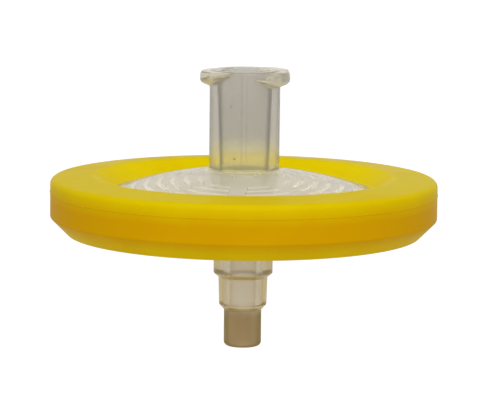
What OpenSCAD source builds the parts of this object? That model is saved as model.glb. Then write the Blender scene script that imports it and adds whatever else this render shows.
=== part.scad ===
// Syringe filter, 33 mm: two domed housing halves clamp a membrane disc and are
// held together by a moulded ring. A lug-thread socket feeds it from above and a
// stepped spigot drains it below. The mouth of the socket is at the origin.

/* [Ring] */
// Outside diameter of the ring, the widest of the filter
ring_d = 33; // [30:0.5:40]
// Width of the ring's face, from its outer edge in to the domes
ring_w = 5.5; // [4.6:0.1:6.4]
// Thickness of the ring outside the two housing halves
ring_wall = 1.9; // [1.6:0.1:2.6]
// Height of the ring's inner crest above the upper flange
crest_h = 1.22; // [0.8:0.02:1.6]
// Width of the slope from the dome up to the crest
crest_w = 1.7; // [1.2:0.1:2.4]
// Fall of the top face from the crest to the outer edge
crest_fall = 0.3; // [0:0.02:0.5]
// Radius of the round on the crest
crest_round = 0.7; // [0.3:0.05:0.9]
// Radius of the round on the upper outer edge
shoulder_round = 0.5; // [0.2:0.05:0.7]
// Height of the lower lip below the lower flange
lip_h = 1.18; // [0.8:0.02:1.6]
// Size of the bevel on the lower outer edge
ring_bevel = 1.48; // [0.8:0.02:2]
// Height of the mould's parting line above the membrane
parting_h = 0.95; // [0.4:0.05:1.4]
// Height of the fine ridge along the parting line
parting_ridge = 0.05; // [0.02:0.01:0.12]

/* [Housing] */
// Thickness of each half at its flange
flange_t = 1.16; // [1:0.02:1.6]
// Width of the flange outside the membrane's pocket
flange_w = 1.9; // [1.3:0.1:2.4]
// Rise of each dome from its edge to its centre
dome_rise = 1.8; // [1:0.1:2.4]
// Depth of the hollow at its edge
chamber_edge = 0.35; // [0.2:0.05:0.5]
// Depth of the hollow at its centre
chamber_centre = 0.65; // [0.4:0.05:0.8]

/* [Membrane] */
// Thickness of the membrane disc
membrane_t = 0.15; // [0.1:0.01:0.3]
// Width of the membrane's rim that the halves clamp, outside the hollows
clamp_w = 1.3; // [0.8:0.1:2]
// Gap between the edge of the membrane and its pocket
membrane_gap = 0.1; // [0.05:0.01:0.2]

/* [Ribs] */
// Radius of the innermost ring of ribs
rib_first_r = 3.65; // [3:0.05:4.5]
// Distance from one ring of ribs to the next
rib_pitch = 1.11; // [0.8:0.01:1.6]
// Width of a rib that presses on the membrane from above
inlet_rib_w = 0.45; // [0.3:0.05:0.6]
// Width of a rib that carries the membrane from below
outlet_rib_w = 0.6; // [0.4:0.05:0.7]
// Number of radial channels through the ribs
channels = 7; // [4:1:10]
// Width of a radial channel
channel_w = 1.4; // [0.8:0.1:2]
// Direction of the first channel
channel_turn = 263.6; // [0:0.1:360]

/* [Inlet] */
// Height of the socket mouth above the membrane
inlet_reach = 11.4; // [10.5:0.1:16]
// Outside diameter of the inlet tube
tube_d = 6; // [5.6:0.05:6.6]
// Diameter of the tapered socket at its mouth
socket_d = 4.3; // [4.27:0.01:4.35]
// Depth of the tapered socket
socket_depth = 9; // [7.5:0.1:9.6]
// Loss of socket diameter for each millimetre of depth
socket_taper = 0.06; // [0.05:0.005:0.07]
// Diameter of the passage from the socket to the membrane
passage_d = 2; // [1.2:0.1:3]
// Radius of the round where the tube meets the dome
tube_fillet = 0.4; // [0.2:0.05:0.6]

/* [Lugs] */
// Diameter over the two lugs
lug_d = 7.66; // [7.2:0.01:7.83]
// Drop of a lug's lower edge below the mouth
lug_drop = 1.05; // [0.9:0.01:1.3]
// Width of a lug between its flanks, measured at the crest
lug_w = 0.79; // [0.5:0.01:0.9]
// Radius of the round on a lug's nose
lug_round = 0.42; // [0.1:0.02:0.5]
// Rise of a lug in a full turn
lug_lead = 5; // [4:0.1:6]
// Arc of the level stretch of a lug, ahead of its ramp
lug_level = 80; // [60:1:90]
// Width of a lug's narrow start, which ends in a point
lug_tail_w = 0.48; // [0.3:0.01:0.6]
// Arc of a lug's narrow start
lug_tail = 26; // [20:1:35]
// Slope of a lug's lower flank
lug_flank = 24; // [15:1:35]
// Slope of a lug's upper flank
lug_back = 40; // [25:1:50]
// Direction in which a lug's ramp starts
lug_turn = 0; // [0:1:90]

/* [Outlet] */
// Diameter of the collar under the housing
collar_d = 5.07; // [4.6:0.01:6]
// Length of the collar, from the lower flange to its lower edge
collar_len = 4.55; // [3:0.05:6]
// Height of the bevel under the collar
collar_bevel = 0.35; // [0.2:0.05:0.6]
// Diameter of the tapered section at its top
taper_d = 4.21; // [3.9:0.01:4.4]
// Length of the tapered section
taper_len = 2.37; // [1.5:0.01:4]
// Loss of diameter for each millimetre of the tapered section
taper_rate = 0.06; // [0.02:0.005:0.07]
// Height of the slope between the tapered section and the tip
step_len = 0.47; // [0.3:0.01:0.8]
// Diameter of the tip
tip_d = 3.2; // [2.9:0.02:3.5]
// Length of the tip
tip_len = 3.15; // [2:0.05:5]
// Radius of the round at the end of the tip
tip_round = 0.38; // [0.1:0.02:0.45]
// Bore through the collar and the tapered section
drain_d = 2.3; // [1.6:0.1:2.4]
// Bore through the tip
tip_bore_d = 1.6; // [1:0.1:1.8]

/* [Hidden] */
$fn = 128;

arc_steps = 5;                      // facets in a rounded corner of a profile
dome_steps = 10;                    // facets from the edge of a dome to the tube on it
bite = 0.3;                         // how far a lug reaches into the wall it stands on
slack = 0.05;                       // how far a cutter passes the face it cuts

ring_r = ring_d / 2;
housing_r = ring_r - ring_wall;
window_r = ring_r - ring_w;
crest_r = window_r + crest_w;
pocket_r = housing_r - flange_w;
membrane_r = pocket_r - membrane_gap;
chamber_r = membrane_r - clamp_w;
tube_r = tube_d / 2;
collar_r = collar_d / 2;

outlet_top = -membrane_t;           // the halves meet level with the membrane's underside
outlet_flange_t = flange_t + membrane_t;
outlet_edge = outlet_top - outlet_flange_t;
socket_floor = inlet_reach - socket_depth;
socket_floor_r = (socket_d - socket_taper * socket_depth) / 2;
mouth_bevel = 0.12;                 // lead-in at the mouth of the socket
rim_round = 0.18;                   // round on the outer edge of the rim
bevel_round = 0.25;                 // round at both ends of the ring's bevel
edge_round = 0.12;                  // round on the other moulded edges
dome_r = (window_r * window_r + dome_rise * dome_rise) / (2 * dome_rise);

lug_top = -0.03;                    // top of a lug, just under the rim
lug_lead_in = 24;                   // arc in which a lug rises from the tube
lug_opening = 36;                   // arc in which its point opens downward
lug_point = 0.1;                    // share of the width that the point starts with
lug_widening = 22;                  // arc in which the narrow start grows to the full width
lug_lead_out = 24;                  // arc in which it sinks back
lug_run_out = (lug_drop + lug_top - slack) * 360 / lug_lead;
lug_root = tube_r - bite;
lug_foot = lug_root + bite / 2;     // the lug sinks to here at both ends
lug_steps = 36;

collar_end = outlet_edge - collar_len;
taper_top = collar_end - collar_bevel;
taper_end = taper_top - taper_len;
taper_end_r = (taper_d - taper_rate * taper_len) / 2;
tip_top = taper_end - step_len;
tip_end = tip_top - tip_len;

// Points of the arc that rounds corner c, between its neighbours p and q
function corner(p, c, q, r) =
    let (u = (p - c) / norm(p - c),
         v = (q - c) / norm(q - c),
         half = acos(u * v) / 2,
         short = min(norm(p - c), norm(q - c)),
         fit = min(r, 0.45 * short * tan(half)),
         from = c + u * fit / tan(half),
         to = c + v * fit / tan(half),
         middle = c + (u + v) / norm(u + v) * fit / sin(half),
         first = atan2(from[1] - middle[1], from[0] - middle[0]),
         last = atan2(to[1] - middle[1], to[0] - middle[0]),
         sweep = (last - first + 540) % 360 - 180)
    [for (i = [0:arc_steps])
        middle + fit * [cos(first + sweep * i / arc_steps), sin(first + sweep * i / arc_steps)]];

// Outline through corners given as [x, y, round]
function rounded(corners) =
    let (n = len(corners),
         at = [for (c = corners) [c[0], c[1]]])
    [for (i = [0:n - 1])
        each (corners[i][2] > 0
            ? corner(at[(i + n - 1) % n], at[i], at[(i + 1) % n], corners[i][2])
            : [at[i]])];

// Height of a dome above its edge, at a distance from the axis
function dome_h(r) = sqrt(dome_r * dome_r - r * r) - (dome_r - dome_rise);

// Corners along a dome, from its edge to the radius where a tube rises from it
function dome_line(edge_z, side, tube_edge, fillet) =
    [for (i = [0:dome_steps])
        let (r = window_r + (tube_edge - window_r) * i / dome_steps)
        [r, edge_z + side * dome_h(r), i == dome_steps ? fillet : 0]];

// Turns a profile of [radius, height, round] corners about the axis
module turned(corners) {
    rotate_extrude() polygon(rounded(corners));
}

// Plan of the ribs: rings broken by radial channels
module rib_plan(width) {
    rings = floor((chamber_r - rib_first_r - width) / rib_pitch);
    difference() {
        for (i = [0:rings]) {
            r = rib_first_r + i * rib_pitch;
            difference() {
                circle(r = r + width / 2);
                circle(r = r - width / 2);
            }
        }
        for (i = [0:channels - 1])
            rotate(channel_turn + 360 * i / channels)
                translate([0, -channel_w / 2]) square([chamber_r, channel_w]);
    }
}

// Hollow beside the membrane, from its open face at zero up, less the ribs in it
module chamber(rib_w) {
    difference() {
        rotate_extrude() polygon([
            [0, -slack],
            [chamber_r, -slack],
            [chamber_r, chamber_edge],
            [0, chamber_centre],
        ]);
        translate([0, 0, -2 * slack])
            linear_extrude(height = chamber_centre + 4 * slack) rib_plan(rib_w);
    }
}

// Outline of a lug where it is whole, as [radius, height above its lower edge]
function lug_profile() =
    let (depth = lug_d / 2 - lug_root)
    rounded([
        [lug_root, -depth * tan(lug_flank), 0],
        [lug_d / 2, 0, lug_round],
        [lug_d / 2, lug_w, lug_round],
        [lug_root, lug_w + depth * tan(lug_back), 0],
    ]);

// Section of a lug at an angle along it: a pointed narrow start, then the full width,
// thinner again as it runs out under the rim
function lug_section(a) =
    let (low = -lug_drop + lug_lead * max(0, a) / 360,
         grown = min(1, max(0, (a + lug_level - lug_tail) / lug_widening)),
         wide = lug_tail_w + (lug_w - lug_tail_w) * grown,
         thin = min(wide, lug_top - low) / lug_w,
         ridge = low + lug_tail_w,
         open = min(1, max(lug_point, (a + lug_level) / lug_opening)),
         out = sin(90 * min(1, (a + lug_level) / lug_lead_in, (lug_run_out - a) / lug_lead_out)))
    [for (p = lug_profile())
        let (z = low + (p[1] > 0 ? min(p[1], lug_w) * thin : p[1])
                 + max(0, p[1] - lug_w) * grown)
        [p[0] > lug_foot ? lug_foot + (p[0] - lug_foot) * out : p[0],
         min(lug_top, ridge + (z - ridge) * open)]];

// One lug: level at first, then climbing to the mouth at the lead of the thread
module lug() {
    angles = [for (i = [0:lug_steps]) -lug_level + (lug_run_out + lug_level) * i / lug_steps];
    sections = [for (a = angles) lug_section(a)];
    n = len(sections[0]);
    points = [for (i = [0:lug_steps]) each
        [for (p = sections[i]) [p[0] * cos(angles[i]), p[0] * sin(angles[i]), p[1]]]];
    sides = [for (i = [0:lug_steps - 1], j = [0:n - 1])
        let (k = (j + 1) % n)
        [i * n + j, i * n + k, (i + 1) * n + k, (i + 1) * n + j]];
    ends = [[for (j = [n - 1:-1:0]) j], [for (j = [0:n - 1]) lug_steps * n + j]];
    polyhedron(points, concat(sides, ends), convexity = 4);
}

// Places what is modelled about the membrane so that the mouth is at the origin
module seated() {
    translate([0, 0, -inlet_reach]) children();
}

// Upper half: domed disc, tube with a tapered socket, two lugs and ribs underneath
module inlet_housing() {
    color([0.86, 0.85, 0.80]) seated() {
        difference() {
            turned(concat(
                [[0, 0, 0],
                 [pocket_r, 0, 0],
                 [pocket_r, outlet_top, 0],
                 [housing_r, outlet_top, 0],
                 [housing_r, flange_t, 0]],
                dome_line(flange_t, 1, tube_r, tube_fillet),
                [[tube_r, inlet_reach, rim_round],
                 [0, inlet_reach, 0]]));
            chamber(inlet_rib_w);
            cylinder(d = passage_d, h = inlet_reach);
            translate([0, 0, socket_floor])
                cylinder(r1 = socket_floor_r, r2 = socket_d / 2, h = socket_depth);
            translate([0, 0, inlet_reach - mouth_bevel])
                cylinder(d1 = socket_d, d2 = socket_d + 4 * mouth_bevel, h = 2 * mouth_bevel);
        }
        translate([0, 0, inlet_reach])
            for (side = [0, 180]) rotate(lug_turn + side) lug();
    }
}

// White disc clamped between the halves
module membrane() {
    color([0.93, 0.92, 0.89]) seated()
        translate([0, 0, outlet_top]) cylinder(r = membrane_r, h = membrane_t);
}

// Lower half: domed disc with ribs on top, and the stepped spigot
module outlet_housing() {
    color([0.76, 0.71, 0.58]) seated()
        difference() {
            turned(concat(
                [[0, outlet_top, 0],
                 [housing_r, outlet_top, 0],
                 [housing_r, outlet_edge, 0]],
                dome_line(outlet_edge, -1, collar_r, tube_fillet),
                [[collar_r, collar_end, edge_round],
                 [taper_d / 2, taper_top, 0],
                 [taper_end_r, taper_end, edge_round],
                 [tip_d / 2, tip_top, edge_round],
                 [tip_d / 2, tip_end, tip_round],
                 [0, tip_end, 0]]));
            translate([0, 0, outlet_top]) mirror([0, 0, 1]) chamber(outlet_rib_w);
            translate([0, 0, taper_end]) cylinder(d = drain_d, h = outlet_top - taper_end);
            translate([0, 0, tip_top]) cylinder(d1 = tip_bore_d, d2 = drain_d, h = step_len);
            translate([0, 0, tip_end - slack]) cylinder(d = tip_bore_d, h = tip_len + 2 * slack);
        }
}

// Ring moulded round the flanges of both halves
module overmould_ring() {
    crest_top = flange_t + crest_h;
    base = outlet_edge - lip_h;
    color([0.84, 0.72, 0.02]) seated()
        turned([
            [window_r, flange_t, 0],
            [crest_r, crest_top, crest_round],
            [ring_r, crest_top - crest_fall, shoulder_round],
            [ring_r, parting_h + parting_ridge, 0],
            [ring_r + parting_ridge, parting_h, 0],
            [ring_r, parting_h - parting_ridge, 0],
            [ring_r, base + ring_bevel, bevel_round],
            [ring_r - ring_bevel, base, bevel_round],
            [crest_r, base, crest_round],
            [window_r, outlet_edge, 0],
            [housing_r, outlet_edge, 0],
            [housing_r, flange_t, 0],
        ]);
}

inlet_housing();
membrane();
outlet_housing();
overmould_ring();
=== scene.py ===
from math import asin, atan2, cos, pi, radians, sin, sqrt, tan

import bmesh
import bpy
from mathutils import Matrix, Quaternion, Vector


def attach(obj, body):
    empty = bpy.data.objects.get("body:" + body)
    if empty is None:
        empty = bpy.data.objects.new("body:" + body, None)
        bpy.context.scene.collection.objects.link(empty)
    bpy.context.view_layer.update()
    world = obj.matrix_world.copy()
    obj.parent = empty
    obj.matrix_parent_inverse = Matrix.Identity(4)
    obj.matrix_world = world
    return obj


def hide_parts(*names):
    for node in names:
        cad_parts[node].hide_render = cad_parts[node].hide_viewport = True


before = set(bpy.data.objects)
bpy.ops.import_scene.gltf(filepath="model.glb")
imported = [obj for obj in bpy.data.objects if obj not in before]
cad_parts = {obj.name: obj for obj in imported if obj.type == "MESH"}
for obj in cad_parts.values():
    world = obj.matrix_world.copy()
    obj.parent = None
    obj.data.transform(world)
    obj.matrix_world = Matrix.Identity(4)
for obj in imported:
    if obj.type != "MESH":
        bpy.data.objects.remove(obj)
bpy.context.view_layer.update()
scene = bpy.context.scene
print("frame loaded:", ", ".join(sorted(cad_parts)))

# Everything is modelled in millimetres about the membrane's upper face, then
# brought to metres and dropped so that the socket's mouth is at the origin.
mm = 0.001
mouthHeight = 11.4
lathe = {"steps": 200, "cornerCuts": 6, "longRun": 0.9, "hold": 0.05, "merge": 1e-4}


def vertsOf(geom):
    return [v for v in geom if isinstance(v, bmesh.types.BMVert)]


def cornerAngle(v):
    a, b = [(e.other_vert(v).co - v.co).normalized() for e in v.link_edges]
    return a.angle(b)


def sectionLoop(bm, corners):
    # corners are (radius, height, rounding); consecutive ones are joined into a closed wire
    loop = []
    for r, z, *rounding in corners:
        v = bm.verts.new((r, 0, z))
        loop.append((v, rounding[0] if rounding else 0))
    for i, (v, _) in enumerate(loop):
        bm.edges.new((v, loop[(i + 1) % len(loop)][0]))
    for v, rounding in loop:
        if rounding:
            bmesh.ops.bevel(bm, geom=[v], offset=rounding / tan(cornerAngle(v) / 2),
                            offset_type="OFFSET", segments=lathe["cornerCuts"], profile=0.5,
                            affect="VERTICES", clamp_overlap=True, material=-1)
    # a short step beside both ends of each long run keeps its shading straight
    for edge in [e for e in bm.edges if e.calc_length() > lathe["longRun"]]:
        start, end = [v.co.copy() for v in edge.verts]
        step = (end - start).normalized() * lathe["hold"]
        split = bmesh.ops.bisect_edges(bm, edges=[edge], cuts=2)["geom_split"]
        cuts = sorted(vertsOf(split), key=lambda v: (v.co - start).length)
        cuts[0].co, cuts[1].co = start + step, end - step


def domeCorners(edgeR, edgeZ, innerR, rise, side, cuts=14):
    # a shallow sphere cap as a run of corners, from its edge in to the tube that stands on it
    radius = (edgeR ** 2 + rise ** 2) / (2 * rise)
    arc = bmesh.new()
    seed = arc.verts.new((edgeR, 0, edgeZ))
    bmesh.ops.spin(arc, geom=[seed], cent=(0, 0, edgeZ + side * (rise - radius)), axis=(0, 1, 0),
                   dvec=(0, 0, 0), angle=side * (asin(innerR / radius) - asin(edgeR / radius)),
                   steps=cuts, use_merge=False, use_normal_flip=False, use_duplicate=False)
    line = sorted((v.co.x, v.co.z) for v in arc.verts)[::-1]
    arc.free()
    return line


def revolve(corners):
    bm = bmesh.new()
    sectionLoop(bm, corners)
    bmesh.ops.spin(bm, geom=bm.verts[:] + bm.edges[:], cent=(0, 0, 0), axis=(0, 0, 1),
                   dvec=(0, 0, 0), angle=2 * pi, steps=lathe["steps"], use_merge=True,
                   use_normal_flip=False, use_duplicate=False)
    bmesh.ops.remove_doubles(bm, verts=bm.verts[:], dist=lathe["merge"])
    bmesh.ops.recalc_face_normals(bm, faces=bm.faces[:])
    return bm


def newObject(name, bm):
    mesh = bpy.data.meshes.new(name)
    bm.to_mesh(mesh)
    bm.free()
    obj = bpy.data.objects.new(name, mesh)
    scene.collection.objects.link(obj)
    return obj


def fuse(body, extras):
    # one moulding: ribs and lugs are united with the body, and the helpers removed
    for extra in extras:
        cut = body.modifiers.new(extra.name, "BOOLEAN")
        cut.operation, cut.solver, cut.object = "UNION", "MANIFOLD", extra
    bpy.context.view_layer.update()
    fused = bpy.data.meshes.new_from_object(body.evaluated_get(bpy.context.evaluated_depsgraph_get()))
    body.modifiers.clear()
    body.data = fused
    for extra in extras:
        bpy.data.objects.remove(extra)
    return body


def seat(obj, sharpAngle=32):
    # merged, outward and smooth, in metres, with the mouth at the origin
    bm = bmesh.new()
    bm.from_mesh(obj.data)
    bmesh.ops.remove_doubles(bm, verts=bm.verts[:], dist=2 * lathe["merge"])
    bmesh.ops.dissolve_degenerate(bm, edges=bm.edges[:], dist=lathe["merge"])
    bmesh.ops.recalc_face_normals(bm, faces=bm.faces[:])
    bmesh.ops.translate(bm, verts=bm.verts[:], vec=(0, 0, -mouthHeight))
    bmesh.ops.scale(bm, verts=bm.verts[:], vec=(mm, mm, mm))
    for f in bm.faces:
        f.smooth = True
    bm.to_mesh(obj.data)
    bm.free()
    obj.data.set_sharp_from_angle(angle=radians(sharpAngle))
    return obj


# the ribs inside both halves
ribSizes = {"firstR": 3.65, "pitch": 1.11, "rings": 7, "channels": 7, "channelWidth": 1.4,
            "firstChannel": 263.6, "stepsPerSector": 30, "upperWidth": 0.45, "lowerWidth": 0.6,
            "upperRoot": 0.75, "lowerRoot": -0.9}   # roots lie inside the wall that carries the ribs


def ribBlades(name, width, low, high, cone):
    # rings of low walls, cut by radial channels: one sector is made and then repeated
    s = ribSizes
    sector = 360 / s["channels"]
    bm = bmesh.new()
    for i in range(s["rings"]):
        r = s["firstR"] + i * s["pitch"]
        z = [low, low, high + cone * (r + width / 2), high + cone * (r - width / 2)]
        x = [r - width / 2, r + width / 2, r + width / 2, r - width / 2]
        bm.faces.new([bm.verts.new((a, 0, b)) for a, b in zip(x, z)])
    bmesh.ops.spin(bm, geom=bm.faces[:], cent=(0, 0, 0), axis=(0, 0, 1), dvec=(0, 0, 0),
                   angle=radians(sector), steps=s["stepsPerSector"], use_merge=False,
                   use_normal_flip=False, use_duplicate=False)
    for turn, side in ((0, 1), (sector, -1)):
        normal = Vector((-sin(radians(turn)), cos(radians(turn)), 0)) * side
        bmesh.ops.bisect_plane(bm, geom=bm.verts[:] + bm.edges[:] + bm.faces[:], dist=1e-5,
                               plane_co=normal * s["channelWidth"] / 2, plane_no=-normal,
                               use_snap_center=False, clear_outer=True, clear_inner=False)
        bmesh.ops.holes_fill(bm, edges=[e for e in bm.edges if e.is_boundary], sides=0)
    bmesh.ops.rotate(bm, verts=bm.verts[:], cent=(0, 0, 0),
                     matrix=Matrix.Rotation(radians(s["firstChannel"]), 3, "Z"))
    first = bm.verts[:] + bm.edges[:] + bm.faces[:]
    for i in range(1, s["channels"]):
        copy = bmesh.ops.duplicate(bm, geom=first)["geom"]
        bmesh.ops.rotate(bm, verts=vertsOf(copy), cent=(0, 0, 0),
                         matrix=Matrix.Rotation(radians(sector * i), 3, "Z"))
    bmesh.ops.recalc_face_normals(bm, faces=bm.faces[:])
    return newObject(name, bm)


# the upper half; press is how deep touching pieces sink into each other
inletSizes = {"edgeR": 11.0, "flange": 1.16, "rise": 1.8, "tubeR": 3.0, "footRound": 0.4, "rimRound": 0.18,
              "mouthR": 2.15, "mouthBevel": 0.12, "mouthInset": 0.003, "socketDepth": 9.0, "taper": 0.06,
              "floorRound": 0.1, "passageR": 1.0, "chamberR": 11.3, "chamberHub": 0.65, "chamberRim": 0.35,
              "seatR": 12.7, "flangeR": 14.6, "press": 0.012}
# the pair of lugs on the rim; lengths in mm, the rest in degrees round the tube
lugSizes = {"root": 2.7, "crest": 3.83, "drop": 1.05, "width": 0.79, "top": -0.03, "flank": 24,
            "upperFlank": 40, "lead": 5.0, "level": 80, "climb": 70, "round": 0.42, "easeIn": 24,
            "tail": 26, "tailWidth": 0.48, "widening": 22, "point": 36, "pointShare": 0.1,
            "easeOut": 24, "buried": 0.15, "step": 1.5}


def lugPair():
    # one lug: a round-nosed thread swept level, then up a right-hand screw, with both ends eased in
    s = lugSizes
    depth = s["crest"] - s["root"]
    high = s["width"] - s["drop"]
    bm = bmesh.new()
    shape = [(s["root"], -s["drop"] - depth * tan(radians(s["flank"])), 0),
             (s["crest"], -s["drop"], s["round"]), (s["crest"], high, s["round"]),
             (s["root"], high + depth * tan(radians(s["upperFlank"])), 0)]
    sectionLoop(bm, shape)
    bmesh.ops.contextual_create(bm, geom=bm.edges[:])
    bmesh.ops.rotate(bm, verts=bm.verts[:], cent=(0, 0, 0),
                     matrix=Matrix.Rotation(radians(-s["level"]), 3, "Z"))
    end = bm.faces[:]
    for angle, rise in ((s["level"], 0), (s["climb"], s["lead"] * s["climb"] / 360)):
        steps = round(angle / s["step"])
        swept = bmesh.ops.spin(bm, geom=end, cent=(0, 0, 0), axis=(0, 0, 1),
                               dvec=(0, 0, rise / steps), angle=radians(angle), steps=steps,
                               use_merge=False, use_normal_flip=False, use_duplicate=False)
        if rise:
            bmesh.ops.delete(bm, geom=end, context="FACES_ONLY")   # now inside the sweep
        end = [f for f in swept["geom_last"] if isinstance(f, bmesh.types.BMFace)]
    for v in bm.verts:
        along = atan2(v.co.y, v.co.x) * 180 / pi
        low = s["lead"] * max(0, along) / 360 - s["drop"]
        grown = min(1, max(0, (along + s["level"] - s["tail"]) / s["widening"]))
        wide = s["tailWidth"] + (s["width"] - s["tailWidth"]) * grown
        ridge = low + s["tailWidth"]
        start = sin(pi / 2 * min(1, max(0, (along + s["level"]) / s["easeIn"])))
        ease = min(start, sin(pi / 2 * min(1, max(0, (s["climb"] - along) / s["easeOut"]))))
        r = v.co.xy.length
        base = s["root"] + s["buried"]
        if r > base:
            v.co.xy *= (base + (r - base) * ease) / r
        opened = min(1, max(s["pointShare"], (along + s["level"]) / s["point"]))   # a pointed start
        high = v.co.z - low
        if high > 0:                           # narrow at its start and where it runs out
            v.co.z = low + min(high, s["width"]) * min(wide, s["top"] - low) / s["width"]
            v.co.z += max(0, high - s["width"]) * grown
        v.co.z = ridge + (v.co.z - ridge) * opened
        v.co.z = min(s["top"], v.co.z) + mouthHeight
    copy = bmesh.ops.duplicate(bm, geom=bm.verts[:] + bm.edges[:] + bm.faces[:])["geom"]
    bmesh.ops.rotate(bm, verts=vertsOf(copy), cent=(0, 0, 0), matrix=Matrix.Rotation(pi, 3, "Z"))
    bmesh.ops.recalc_face_normals(bm, faces=bm.faces[:])
    return newObject("lugs", bm)


def chamberSlope():
    # how much nearer to the membrane the chamber's wall comes for each mm outwards
    s = inletSizes
    return (s["chamberHub"] - s["chamberRim"]) / s["chamberR"]


def makeInlet():
    s = inletSizes
    sheet = membraneSizes["thickness"]
    dome = domeCorners(s["edgeR"], s["flange"], s["tubeR"], s["rise"], 1)
    floorZ = mouthHeight - s["socketDepth"]
    floorR = s["mouthR"] - s["taper"] * s["socketDepth"] / 2
    corners = [(s["passageR"], s["chamberHub"] - chamberSlope() * s["passageR"]),
               (s["chamberR"], s["chamberRim"]), (s["chamberR"], -s["press"]),
               (s["seatR"], -s["press"]), (s["seatR"], -sheet), (s["flangeR"], -sheet),
               (s["flangeR"], s["flange"])]
    corners += dome[:-1] + [(*dome[-1], s["footRound"])]
    corners += [(s["tubeR"], mouthHeight, s["rimRound"]), (s["mouthR"] + s["mouthBevel"], mouthHeight),
                (s["mouthR"] - s["mouthInset"], mouthHeight - s["mouthBevel"]),
                (floorR, floorZ, s["floorRound"]), (s["passageR"], floorZ, s["floorRound"])]
    body = newObject("inletHousing", revolve(corners))
    ribs = ribBlades("inletRibs", ribSizes["upperWidth"], -s["press"], ribSizes["upperRoot"], -chamberSlope())
    return seat(fuse(body, [ribs, lugPair()]))


# the lower half; clampR to landR is the small step beside the membrane's edge
outletSizes = {"edgeZ": -1.46, "clampR": 12.62, "landR": 12.64, "landZ": -0.155, "collarR": 2.535,
               "collarEnd": -6.01, "collarRound": 0.12, "taperTop": -6.36, "taperEnd": -8.73,
               "taperR": 2.105, "taperEndR": 2.034, "taperRound": 0.06, "tipTop": -9.2, "stepRound": 0.12,
               "tipEnd": -12.35, "tipR": 1.6, "tipRound": 0.38, "drainR": 1.15, "tipBoreR": 0.8,
               "boreRound": 0.08}


def makeOutlet():
    s, upper = outletSizes, inletSizes
    sheet = membraneSizes["thickness"]
    dome = domeCorners(upper["edgeR"], s["edgeZ"], s["collarR"], upper["rise"], -1)
    corners = [(s["drainR"], -sheet - upper["chamberHub"] + chamberSlope() * s["drainR"]),
               (upper["chamberR"], -sheet - upper["chamberRim"]),
               (upper["chamberR"], -sheet + upper["press"]), (s["clampR"], -sheet + upper["press"]),
               (s["landR"], s["landZ"]), (upper["flangeR"], s["landZ"]), (upper["flangeR"], s["edgeZ"])]
    corners += dome[:-1] + [(*dome[-1], upper["footRound"])]
    corners += [(s["collarR"], s["collarEnd"], s["collarRound"]),
                (s["taperR"], s["taperTop"], s["taperRound"]),
                (s["taperEndR"], s["taperEnd"], s["stepRound"]), (s["tipR"], s["tipTop"], s["stepRound"]),
                (s["tipR"], s["tipEnd"], s["tipRound"]), (s["tipBoreR"], s["tipEnd"], s["boreRound"]),
                (s["tipBoreR"], s["tipTop"]), (s["drainR"], s["taperEnd"])]
    body = newObject("outletHousing", revolve(corners))
    ribs = ribBlades("outletRibs", ribSizes["lowerWidth"], ribSizes["lowerRoot"], -sheet + upper["press"], 0)
    return seat(fuse(body, [ribs]))


membraneSizes = {"radius": 12.6, "thickness": 0.15, "edgeRound": 0.02}


def makeMembrane():
    s = membraneSizes
    bm = bmesh.new()
    bmesh.ops.create_circle(bm, cap_ends=True, segments=lathe["steps"], radius=s["radius"])
    lifted = bmesh.ops.extrude_face_region(bm, geom=bm.faces[:])["geom"]
    bmesh.ops.translate(bm, verts=vertsOf(lifted), vec=(0, 0, -s["thickness"]))
    rims = [e for e in bm.edges if abs(e.verts[0].co.z - e.verts[1].co.z) < 1e-6]
    bmesh.ops.bevel(bm, geom=rims, offset=s["edgeRound"], offset_type="OFFSET", segments=2, profile=0.5,
                    affect="EDGES", clamp_overlap=True, material=-1)
    bmesh.ops.recalc_face_normals(bm, faces=bm.faces[:])
    return seat(newObject("filterMembrane", bm))


# the ring; ridge is the fine line that stands proud where the mould parts
ringSizes = {"outerR": 16.5, "innerR": 14.588, "windowR": 11.0, "crestR": 12.7, "upperFlange": 1.16,
             "lowerFlange": -1.46, "crest": 2.38, "crestRound": 0.7, "fall": 0.3, "topRound": 0.5,
             "partingZ": 0.95, "ridge": 0.05, "ridgeRound": 0.012, "base": -2.64, "bevel": 1.48,
             "bevelRound": 0.25, "press": 0.012}


def makeRing():
    s = ringSizes
    top = s["crest"] - s["fall"]
    corners = [(s["windowR"], s["upperFlange"]), (s["crestR"], s["crest"], s["crestRound"]),
               (s["outerR"], top, s["topRound"]), (s["outerR"], s["partingZ"] + s["ridge"]),
               (s["outerR"] + s["ridge"], s["partingZ"], s["ridgeRound"]),
               (s["outerR"], s["partingZ"] - s["ridge"]),
               (s["outerR"], s["base"] + s["bevel"], s["bevelRound"]),
               (s["outerR"] - s["bevel"], s["base"], s["bevelRound"]),
               (s["crestR"], s["base"], s["crestRound"]), (s["windowR"], s["lowerFlange"]),
               (s["innerR"], s["lowerFlange"] + s["press"]),
               (s["innerR"], s["upperFlange"] - s["press"])]
    return seat(newObject("overmouldRing", revolve(corners)))


print("modelling the pieces")
inlet = makeInlet()
outlet = makeOutlet()
membrane = makeMembrane()
ring = makeRing()
for piece in (inlet, outlet, membrane, ring):
    print("  ", piece.name, len(piece.data.vertices), "vertices")


def addNode(tree, kind, location, **inputs):
    node = tree.nodes.new(kind)
    node.location = location
    for name, value in inputs.items():
        node.inputs[name].default_value = value
    return node


skinEffects = {"grainDetail": 3.0, "cloudDetail": 4.0, "scuffDetail": 2.0, "scuffTurn": (0.3, 0.5, 0.7),
               "scuffStretch": (1.0, 0.06, 1.0), "scuffFrom": 0.69, "scuffTo": 0.78}


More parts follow.
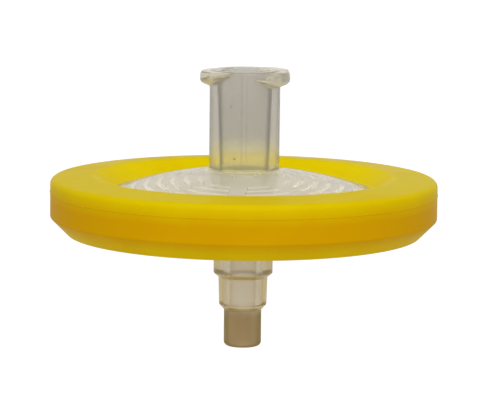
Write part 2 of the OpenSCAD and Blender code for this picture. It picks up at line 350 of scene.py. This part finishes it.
def mouldedSkin():
    # fine moulding grain, slow clouding and thin scuffs, all from Object coordinates in metres
    s = skinEffects
    group = bpy.data.node_groups.new("mouldedSkin", "ShaderNodeTree")
    face = group.interface
    face.new_socket(name="Vector", in_out="INPUT", socket_type="NodeSocketVector")
    for name, value in (("Grain Scale", 6000.0), ("Cloud Scale", 220.0), ("Scuff Scale", 900.0)):
        face.new_socket(name=name, in_out="INPUT", socket_type="NodeSocketFloat").default_value = value
    for name in ("Grain", "Cloud", "Scuff"):
        face.new_socket(name=name, in_out="OUTPUT", socket_type="NodeSocketFloat")
    inside = group.nodes.new("NodeGroupInput")
    outside = group.nodes.new("NodeGroupOutput")
    inside.location, outside.location = (-700, 0), (500, 0)
    link = group.links.new

    grain = addNode(group, "ShaderNodeTexNoise", (-400, 250), Detail=s["grainDetail"], Roughness=0.6)
    link(inside.outputs["Vector"], grain.inputs["Vector"])
    link(inside.outputs["Grain Scale"], grain.inputs["Scale"])
    link(grain.outputs["Fac"], outside.inputs["Grain"])

    cloud = addNode(group, "ShaderNodeTexNoise", (-400, 0), Detail=s["cloudDetail"], Roughness=0.55)
    link(inside.outputs["Vector"], cloud.inputs["Vector"])
    link(inside.outputs["Cloud Scale"], cloud.inputs["Scale"])
    link(cloud.outputs["Fac"], outside.inputs["Cloud"])

    stretch = addNode(group, "ShaderNodeMapping", (-620, -300))
    stretch.inputs["Rotation"].default_value = s["scuffTurn"]
    stretch.inputs["Scale"].default_value = s["scuffStretch"]
    scuff = addNode(group, "ShaderNodeTexNoise", (-400, -300), Detail=s["scuffDetail"], Roughness=0.4)
    line = addNode(group, "ShaderNodeMapRange", (-180, -300))
    line.inputs["From Min"].default_value = s["scuffFrom"]
    line.inputs["From Max"].default_value = s["scuffTo"]
    link(inside.outputs["Vector"], stretch.inputs["Vector"])
    link(stretch.outputs["Vector"], scuff.inputs["Vector"])
    link(inside.outputs["Scuff Scale"], scuff.inputs["Scale"])
    link(scuff.outputs["Fac"], line.inputs["Value"])
    link(line.outputs["Result"], outside.inputs["Scuff"])
    return group


def mathNode(tree, operation, a, b, location=(0, 0), clamp=False):
    node = tree.nodes.new("ShaderNodeMath")
    node.operation, node.use_clamp, node.location = operation, clamp, location
    for socket, value in zip(node.inputs, (a, b)):
        if isinstance(value, (int, float)):
            socket.default_value = value
        else:
            tree.links.new(value, socket)
    return node.outputs[0]


def mixColours(tree, factor, a, b, location=(0, 0)):
    node = tree.nodes.new("ShaderNodeMix")
    node.data_type, node.location = "RGBA", location
    for socket, value in ((node.inputs["Factor"], factor), (node.inputs["A"], a), (node.inputs["B"], b)):
        if isinstance(value, (int, float, tuple)):
            socket.default_value = value
        else:
            tree.links.new(value, socket)
    return node.outputs["Result"]


def ramp(tree, value, low, high, toLow=0.0, toHigh=1.0, location=(0, 0), smooth=False):
    node = tree.nodes.new("ShaderNodeMapRange")
    node.location = location
    if smooth:
        node.interpolation_type = "SMOOTHSTEP"
    for name, number in (("From Min", low), ("From Max", high), ("To Min", toLow), ("To Max", toHigh)):
        node.inputs[name].default_value = number
    tree.links.new(value, node.inputs["Value"])
    return node.outputs["Result"]


def fromAxis(tree, at):
    # distance from the filter's axis
    across = tree.nodes.new("ShaderNodeCombineXYZ")
    across.location = (-780, -300)
    tree.links.new(at["X"], across.inputs["X"])
    tree.links.new(at["Y"], across.inputs["Y"])
    flat = tree.nodes.new("ShaderNodeVectorMath")
    flat.operation, flat.location = "LENGTH", (-620, -300)
    tree.links.new(across.outputs[0], flat.inputs[0])
    return flat.outputs["Value"]


skin = mouldedSkin()
cloudSpan = (0.3, 0.7)   # the clouding hardly leaves this range


def startMaterial(name, scales):
    # scales are those of the grain, the clouding and the scuffs
    material = bpy.data.materials.new(name)
    material.use_nodes = True
    tree = material.node_tree
    where = addNode(tree, "ShaderNodeTexCoord", (-1200, 0))
    surface = addNode(tree, "ShaderNodeGroup", (-950, 0))
    surface.node_tree = skin
    tree.links.new(where.outputs["Object"], surface.inputs["Vector"])
    for socket, scale in zip(("Grain Scale", "Cloud Scale", "Scuff Scale"), scales):
        surface.inputs[socket].default_value = scale
    apart = addNode(tree, "ShaderNodeSeparateXYZ", (-950, -300))
    tree.links.new(where.outputs["Object"], apart.inputs["Vector"])
    shader = tree.nodes["Principled BSDF"]
    return material, tree, shader, surface.outputs, apart.outputs


def driftingRough(tree, skinOut, look):
    less, more = look["drift"]
    return ramp(tree, skinOut["Cloud"], *cloudSpan, look["rough"] - less, look["rough"] + more)


def setShader(shader, look):
    for socket, key in (("IOR", "ior"), ("Specular IOR Level", "gloss"), ("Coat Weight", "coat"),
                        ("Transmission Weight", "transmission"), ("Coat Roughness", "coatRough")):
        if key in look:
            shader.inputs[socket].default_value = look[key]


def bumpFrom(tree, height, look, shader):
    strength, distance = look["bump"]
    bump = addNode(tree, "ShaderNodeBump", (-300, -400), Strength=strength, Distance=distance)
    tree.links.new(height, bump.inputs["Height"])
    tree.links.new(bump.outputs["Normal"], shader.inputs["Normal"])


# in all the finishes below, names that end in Z or R are heights and radii in metres
# the colour low on the ring's outer wall is painted shade, and the bowl colour inside the crest is painted
# light
yellowPlastic = {"lit": (0.67, 0.51, 0.0, 1), "bowlPaintedLight": (0.80, 0.61, 0.0, 1), "paintedShade": (0.575, 0.30, 0.0, 1),
                 "paintedShadeZ": (-0.0112, -0.0093), "bevelZ": (-0.0135, -0.0125), "bevelShare": 0.45,
                 "wallR": (0.0135, 0.0150), "bowlR": (0.0124, 0.0131), "uneven": 0.12,
                 "rough": 0.38, "drift": (0.05, 0.05), "scuffRough": 0.08, "scuffDepth": 0.5,
                 "ior": 1.06, "scales": (5200.0, 160.0, 700.0), "bump": (0.25, 0.00001)}


def ringMaterial():
    look = yellowPlastic
    material, tree, shader, skinOut, at = startMaterial("yellowPlastic", look["scales"])
    # painted shade: low on the outer wall the yellow is painted darker and more orange, less so on the bevel;
    # the tone is also a touch uneven
    depth = ramp(tree, at["Z"], *look["paintedShadeZ"], 1.0, 0.0, (-700, 300))
    bevel = ramp(tree, at["Z"], *look["bevelZ"], look["bevelShare"], 1.0, (-700, 500))
    depth = mathNode(tree, "MULTIPLY", depth, bevel)
    radius = fromAxis(tree, at)
    depth = mathNode(tree, "MULTIPLY", depth, ramp(tree, radius, *look["wallR"]))
    patches = ramp(tree, skinOut["Cloud"], *cloudSpan, -look["uneven"], look["uneven"])
    depth = mathNode(tree, "ADD", depth, patches, (-500, 300), True)
    # painted light: inside the crest the bowl is painted a brighter yellow than the top
    top = mixColours(tree, ramp(tree, radius, *look["bowlR"]), look["bowlPaintedLight"], look["lit"], (-450, 450))
    colour = mixColours(tree, depth, top, look["paintedShade"], (-250, 250))
    tree.links.new(colour, shader.inputs["Base Color"])
    rough = mathNode(tree, "ADD", driftingRough(tree, skinOut, look),
                     mathNode(tree, "MULTIPLY", skinOut["Scuff"], look["scuffRough"]))
    tree.links.new(rough, shader.inputs["Roughness"])
    scuffs = mathNode(tree, "MULTIPLY", skinOut["Scuff"], look["scuffDepth"])
    bumpFrom(tree, mathNode(tree, "SUBTRACT", skinOut["Grain"], scuffs), look, shader)
    setShader(shader, look)
    return material


# what the seven finishes of the clear plastic share, and then each of them
clearPlastic = {"scales": (4500.0, 260.0, 800.0), "milkSpan": (0.35, 0.65), "paintedLowLightAndShadeZ": (-0.0080, -0.0052),
                "drift": (0.03, 0.04), "scuffRough": 0.1, "scuffDepth": 0.3, "bump": (0.12, 0.000006)}
# tint and milk are its clouded colours; the colour low down is painted light, the ring's yellow light toward
# the tube's foot, and painted shade in the chamber; a turned surface goes to a painted dark line colour
# between lineFrom and lineTo, within the heights of lineZ where it is given
clearLooks = {
    # painted shade: the chamber's walls between the ribs are painted a darker grey than the ribs
    "chamber": {"tint": (0.70, 0.685, 0.65, 1), "milk": (0.72, 0.705, 0.67, 1),
                "paintedLowLightAndShade": (0.64, 0.625, 0.59, 1), "line": (0.7, 0.685, 0.65, 1),
                "lineFrom": 0.9, "lineTo": 1.0, "paintedHubLight": (0.81, 0.795, 0.745, 1), "hubR": (0.0018, 0.0048),
                "rough": 0.05, "transmission": 1.0, "ior": 1.05, "gloss": 0.5},
    "ribs": {"tint": (1.0, 0.98, 0.93, 1), "milk": (1.0, 0.98, 0.93, 1), "paintedLowLightAndShade": (1.0, 0.98, 0.93, 1),
             "line": (1.0, 0.98, 0.93, 1), "lineFrom": 0.4, "lineTo": 0.8,
             "rough": 0.20, "transmission": 1.0, "ior": 1.1, "gloss": 0.5},
    "disc": {"tint": (0.93, 0.91, 0.85, 1), "milk": (0.96, 0.94, 0.88, 1), "paintedLowLightAndShade": (0.97, 0.95, 0.87, 1),
             "line": (0.42, 0.42, 0.42, 1), "lineFrom": 0.74, "lineTo": 1.0, "coat": 0.2, "coatRough": 0.35,
             "rough": 0.05, "transmission": 0.80, "ior": 1.2, "gloss": 0.0},
    "tube": {"tint": (0.73, 0.70, 0.63, 1), "milk": (0.76, 0.73, 0.66, 1), "paintedLowLightAndShade": (1.0, 0.96, 0.63, 1),
             "line": (0.22, 0.19, 0.12, 1), "lineFrom": 0.40, "lineTo": 0.85,
             "lineZ": (-0.0082, -0.0074, 0.0, 1.0),
             "rough": 0.10, "transmission": 0.82, "ior": 1.49, "gloss": 0.5},
    "lugs": {"tint": (0.82, 0.77, 0.62, 1), "milk": (0.84, 0.79, 0.65, 1), "paintedLowLightAndShade": (1.0, 0.96, 0.80, 1),
             "line": (0.55, 0.52, 0.42, 1), "lineFrom": 0.5, "lineTo": 0.95,
             "rough": 0.10, "transmission": 0.70, "ior": 1.49, "gloss": 0.5},
    "socket": {"tint": (0.70, 0.69, 0.66, 1), "milk": (0.74, 0.73, 0.70, 1), "paintedLowLightAndShade": (1.0, 0.965, 0.68, 1),
               "line": (0.0, 0.0, 0.0, 1), "lineFrom": 0.35, "lineTo": 0.62,
               "lineZ": (-0.0016, -0.0006, 1.0, 0.0),
               "rough": 0.14, "transmission": 0.80, "ior": 1.35, "gloss": 0.5},
    # painted light: the socket's floor is painted a bright yellow for the ring's light that reaches it down
    # the bore
    "seat": {"tint": (1.0, 0.95, 0.60, 1), "milk": (1.0, 0.96, 0.64, 1), "paintedLowLightAndShade": (1.0, 0.98, 0.80, 1),
             "line": (1.0, 0.98, 0.85, 1), "lineFrom": 0.45, "lineTo": 0.75,
             "rough": 0.15, "transmission": 0.3, "ior": 1.35, "gloss": 0.5}}

# fine draw lines left by the mould and a few specks in the plastic, on the tube's front; in mm
tubeMarks = {"lines": (-0.31, -0.19, 0.17), "lineWidth": 0.05, "lineDepth": 0.25, "frontY": (-2.9, -2.7),
             "specks": ((-0.82, -7.3, 0.11), (-1.14, -2.85, 0.10), (-0.52, -1.9, 0.08)),
             "colour": (0.06, 0.05, 0.03, 1)}


def markedColour(tree, colour, at):
    s = tubeMarks
    near, far = s["frontY"]
    front = ramp(tree, at["Y"], near * mm, far * mm, 1.0, 0.0, (-900, 700))
    for x in s["lines"]:
        off = mathNode(tree, "ABSOLUTE", mathNode(tree, "SUBTRACT", at["X"], x * mm), 0.0)
        line = ramp(tree, off, 0.0, s["lineWidth"] * mm, s["lineDepth"], 0.0, (-700, 700))
        colour = mixColours(tree, mathNode(tree, "MULTIPLY", line, front), colour, s["colour"])
    for x, z, radius in s["specks"]:
        away = addNode(tree, "ShaderNodeVectorMath", (-900, 900))
        away.operation = "DISTANCE"
        away.inputs[1].default_value = (x * mm, -sqrt(inletSizes["tubeR"] ** 2 - x * x) * mm, z * mm)
        tree.links.new(tree.nodes["Texture Coordinate"].outputs["Object"], away.inputs[0])
        dot = ramp(tree, away.outputs["Value"], radius / 2 * mm, radius * mm, 1.0, 0.0, (-700, 900))
        colour = mixColours(tree, dot, colour, s["colour"])
    return colour


def clearMaterial(part):
    look = {**clearPlastic, **clearLooks[part]}
    material, tree, shader, skinOut, at = startMaterial("clearPlastic" + part.title(), look["scales"])
    milk = ramp(tree, skinOut["Cloud"], *look["milkSpan"])
    colour = mixColours(tree, milk, look["tint"], look["milk"])
    # painted light: toward the foot of the tube the ring's yellow light is painted into the plastic
    foot = ramp(tree, at["Z"], *look["paintedLowLightAndShadeZ"], 1.0, 0.0, (-700, 50), True)
    colour = mixColours(tree, foot, colour, look["paintedLowLightAndShade"])
    # painted light: round the hub, where the tube shades it, the chamber is painted paler
    if "paintedHubLight" in look:   # the chamber is paler round the hub
        hub = ramp(tree, fromAxis(tree, at), *look["hubR"])
        colour = mixColours(tree, hub, look["paintedHubLight"], colour)
    # painted shade: a surface that turns away from the eye is painted a soft darker line
    edge = addNode(tree, "ShaderNodeLayerWeight", (-950, 400), Blend=0.5)
    turned = ramp(tree, edge.outputs["Facing"], look["lineFrom"], look["lineTo"], 0.0, 1.0, (-700, 400), True)
    side = addNode(tree, "ShaderNodeNewGeometry", (-950, 550))
    outer = mathNode(tree, "SUBTRACT", 1.0, side.outputs["Backfacing"])
    turned = mathNode(tree, "MULTIPLY", turned, outer)
    if "lineZ" in look:
        turned = mathNode(tree, "MULTIPLY", turned, ramp(tree, at["Z"], *look["lineZ"]))
    colour = mixColours(tree, turned, colour, look["line"])
    if part == "tube":
        colour = markedColour(tree, colour, at)
    tree.links.new(colour, shader.inputs["Base Color"])
    rough = mathNode(tree, "ADD", driftingRough(tree, skinOut, look),
                     mathNode(tree, "MULTIPLY", skinOut["Scuff"], look["scuffRough"]))
    tree.links.new(rough, shader.inputs["Roughness"])
    scuffs = mathNode(tree, "MULTIPLY", skinOut["Scuff"], look["scuffDepth"])
    bumpFrom(tree, mathNode(tree, "SUBTRACT", skinOut["Grain"], scuffs), look, shader)
    setShader(shader, look)
    return material


# limits between the finishes, in metres from the axis and from the mouth at the origin
finishLimits = {"ceilingZ": -0.0107, "chamberR": 0.01135, "wallNormal": 0.5, "discZ": -0.0080,
                "discR": 0.0034, "floorZ": -0.00905, "socketR": 0.0023, "seatZ": -0.00885,
                "lugR": 0.00303, "lugZ": -0.0020}


def finishOf(face):
    # which finish of the clear plastic a face has, from where it lies
    s = finishLimits
    r, z = face.center.xy.length, face.center.z
    if z < s["ceilingZ"] and r < s["chamberR"]:
        return "ribs" if abs(face.normal.z) < s["wallNormal"] else "chamber"
    if r > s["discR"] and z < s["discZ"] or z < s["floorZ"]:
        return "disc"
    if r < s["socketR"]:
        return "seat" if z < s["seatZ"] else "socket"
    return "lugs" if r > s["lugR"] and z > s["lugZ"] else "tube"


amberPlastic = {"tint": (0.95, 0.89, 0.77, 1), "edge": (0.74, 0.58, 0.20, 1), "edgeSpan": (0.1, 0.5),
                "edgeZ": (-0.0138, -0.0145), "tip": (0.63, 0.49, 0.25, 1), "tipEdge": (0.40, 0.27, 0.05, 1),
                "tipZ": (-0.0212, -0.0200), "wave": 0.0004, "rough": 0.16, "tipRough": 0.5,
                "drift": (0.03, 0.05), "ior": 1.49, "transmission": 0.75,
                "absorb": (0.80, 0.74, 0.60, 1), "density": 150.0, "scales": (4200.0, 300.0, 900.0),
                "grainDepth": 0.4, "tipGrain": 2.0, "bump": (0.2, 0.00001)}


def amberMaterial():
    look = amberPlastic
    material, tree, shader, skinOut, at = startMaterial("amberPlastic", look["scales"])
    # the slender tip is frosted and warmer, with a soft start under the step
    wave = ramp(tree, skinOut["Cloud"], *cloudSpan, -look["wave"], look["wave"])
    tip = ramp(tree, mathNode(tree, "ADD", at["Z"], wave), *look["tipZ"], 1.0, 0.0, (-600, 200), True)
    # painted shade: lower down, where the amber surface turns away from the eye, it is painted a darker amber
    edge = addNode(tree, "ShaderNodeLayerWeight", (-950, 400), Blend=0.5)
    turned = ramp(tree, edge.outputs["Facing"], *look["edgeSpan"], 0.0, 1.0, (-700, 400), True)
    turned = mathNode(tree, "MULTIPLY", turned, ramp(tree, at["Z"], *look["edgeZ"]))
    colour = mixColours(tree, tip, mixColours(tree, turned, look["tint"], look["edge"]),
                        mixColours(tree, turned, look["tip"], look["tipEdge"]), (-250, 250))
    tree.links.new(colour, shader.inputs["Base Color"])
    rough = mathNode(tree, "ADD", driftingRough(tree, skinOut, look),
                     mathNode(tree, "MULTIPLY", tip, look["tipRough"] - look["rough"]))
    tree.links.new(rough, shader.inputs["Roughness"])
    frost = mathNode(tree, "MULTIPLY", mathNode(tree, "MULTIPLY", skinOut["Grain"], tip), look["tipGrain"])
    grain = mathNode(tree, "MULTIPLY", skinOut["Grain"], look["grainDepth"])
    bumpFrom(tree, mathNode(tree, "ADD", grain, frost), look, shader)
    setShader(shader, look)
    absorb = addNode(tree, "ShaderNodeVolumeAbsorption", (0, -500), Color=look["absorb"],
                     Density=look["density"])
    tree.links.new(absorb.outputs["Volume"], tree.nodes["Material Output"].inputs["Volume"])
    return material


porousSheet = {"face": (0.97, 0.94, 0.86, 1), "pore": (0.93, 0.89, 0.80, 1), "poreScale": 9000.0,
               "webWidth": 0.12, "rough": 0.9, "drift": (0.05, 0.05), "gloss": 0.2,
               "scales": (9000.0, 400.0, 1500.0), "bump": (0.3, 0.00001)}


def membraneMaterial():
    look = porousSheet
    material, tree, shader, skinOut, at = startMaterial("porousSheet", look["scales"])
    fibres = addNode(tree, "ShaderNodeTexVoronoi", (-950, 300))
    fibres.feature = "DISTANCE_TO_EDGE"
    fibres.inputs["Scale"].default_value = look["poreScale"]
    tree.links.new(tree.nodes["Texture Coordinate"].outputs["Object"], fibres.inputs["Vector"])
    web = ramp(tree, fibres.outputs["Distance"], 0.0, look["webWidth"])
    colour = mixColours(tree, mathNode(tree, "MULTIPLY", web, skinOut["Grain"]), look["face"], look["pore"])
    tree.links.new(colour, shader.inputs["Base Color"])
    tree.links.new(driftingRough(tree, skinOut, look), shader.inputs["Roughness"])
    bumpFrom(tree, mathNode(tree, "SUBTRACT", skinOut["Grain"], web), look, shader)
    setShader(shader, look)
    return material


print("finishing the surfaces")
for piece, materials, slot, node in (
        (inlet, [clearMaterial(part) for part in clearLooks], "clear_housing", "inlet_housing"),
        (outlet, [amberMaterial()], "amber_housing", "outlet_housing"),
        (membrane, [membraneMaterial()], "membrane", "membrane"),
        (ring, [ringMaterial()], "ring", "overmould_ring")):
    piece.data.materials.clear()
    for material in materials:
        piece.data.materials.append(material)
    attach(piece, "root")
    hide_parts(node)

finishes = list(clearLooks)
for face in inlet.data.polygons:
    face.material_index = finishes.index(finishOf(face))

# the through colours are what gloss and clear plastic show of the floor and the sky; angles in degrees
studio = {"floorZ": -0.075, "floorHalf": 2.4, "floorColour": (0.93, 0.93, 0.93, 1),
          "floorThrough": (0.62, 0.61, 0.58, 1), "floorGlow": 0.22, "skyColour": (1.0, 1.0, 1.0, 1),
          "skyThrough": (0.97, 0.93, 0.85, 1), "skyDiffuse": 0.50,
          "sun": 1.8, "sunAngle": 70, "sunTurn": (44, 0, 2)}


def whiteRays(tree):
    # one for what the camera sees, straight or by gloss and clear plastic, and zero for plain lighting;
    # the second value is one only for gloss and clear plastic
    path = addNode(tree, "ShaderNodeLightPath", (-600, 200))
    glossy, through = path.outputs["Is Glossy Ray"], path.outputs["Is Transmission Ray"]
    indirect = mathNode(tree, "ADD", glossy, through, clamp=True)
    return mathNode(tree, "MAXIMUM", path.outputs["Is Camera Ray"], indirect), indirect


def makeFloor():
    bm = bmesh.new()
    bmesh.ops.create_grid(bm, x_segments=1, y_segments=1, size=studio["floorHalf"])
    bmesh.ops.translate(bm, verts=bm.verts[:], vec=(0, 0, studio["floorZ"]))
    floor = newObject("studioFloor", bm)
    material = bpy.data.materials.new("paleFloor")
    material.use_nodes = True
    tree = material.node_tree
    shader = tree.nodes["Principled BSDF"]
    white, indirect = whiteRays(tree)
    colour = mixColours(tree, indirect, studio["floorColour"], studio["floorThrough"])
    tree.links.new(colour, shader.inputs["Base Color"])
    shader.inputs["Roughness"].default_value = 0.9
    shader.inputs["Specular IOR Level"].default_value = 0.0
    paintedLowLightAndShade = mathNode(tree, "MULTIPLY", white, studio["floorGlow"])
    shader.inputs["Emission Color"].default_value = (1, 1, 1, 1)
    tree.links.new(paintedLowLightAndShade, shader.inputs["Emission Strength"])
    # from below the floor is clear, so that the underside can be seen
    below = addNode(tree, "ShaderNodeNewGeometry", (-200, 500))
    clear = addNode(tree, "ShaderNodeBsdfTransparent", (0, 300))
    mix = addNode(tree, "ShaderNodeMixShader", (300, 100))
    tree.links.new(below.outputs["Backfacing"], mix.inputs[0])
    tree.links.new(shader.outputs[0], mix.inputs[1])
    tree.links.new(clear.outputs[0], mix.inputs[2])
    tree.links.new(mix.outputs[0], tree.nodes["Material Output"].inputs["Surface"])
    floor.data.materials.append(material)


def makeLight():
    world = bpy.data.worlds.new("whiteStudio")
    scene.world = world
    world.use_nodes = True
    tree = world.node_tree
    back = tree.nodes["Background"]
    white, indirect = whiteRays(tree)
    colour = mixColours(tree, indirect, studio["skyColour"], studio["skyThrough"])
    tree.links.new(colour, back.inputs["Color"])
    level = mathNode(tree, "MAXIMUM", white, studio["skyDiffuse"])
    tree.links.new(level, back.inputs["Strength"])
    sun = bpy.data.lights.new("softBox", "SUN")
    sun.energy, sun.angle = studio["sun"], radians(studio["sunAngle"])
    lamp = bpy.data.objects.new("softBox", sun)
    lamp.rotation_euler = [radians(a) for a in studio["sunTurn"]]
    scene.collection.objects.link(lamp)


cameraSet = {"distance": 0.2608, "raise": 7.98, "aim": (0.00053, 0.0, -0.01116), "lens": 220.0,
             "sensor": 36.0, "roll": 0.011, "near": 0.01, "far": 10.0}


def makeCamera():
    s = cameraSet
    data = bpy.data.cameras.new("camera")
    data.lens, data.sensor_width = s["lens"], s["sensor"]
    data.clip_start, data.clip_end = s["near"], s["far"]
    camera = bpy.data.objects.new("camera", data)
    up = radians(s["raise"])
    away = Vector((0, -cos(up), sin(up)))
    camera.location = Vector(s["aim"]) + away * s["distance"]
    turn = (-away).to_track_quat("-Z", "Y")
    camera.rotation_mode = "QUATERNION"
    camera.rotation_quaternion = turn @ Quaternion((0, 0, 1), s["roll"])
    scene.collection.objects.link(camera)
    scene.camera = camera


print("setting the stage")
makeFloor()
makeLight()
makeCamera()
scene.view_settings.view_transform = "Standard"

print("done")
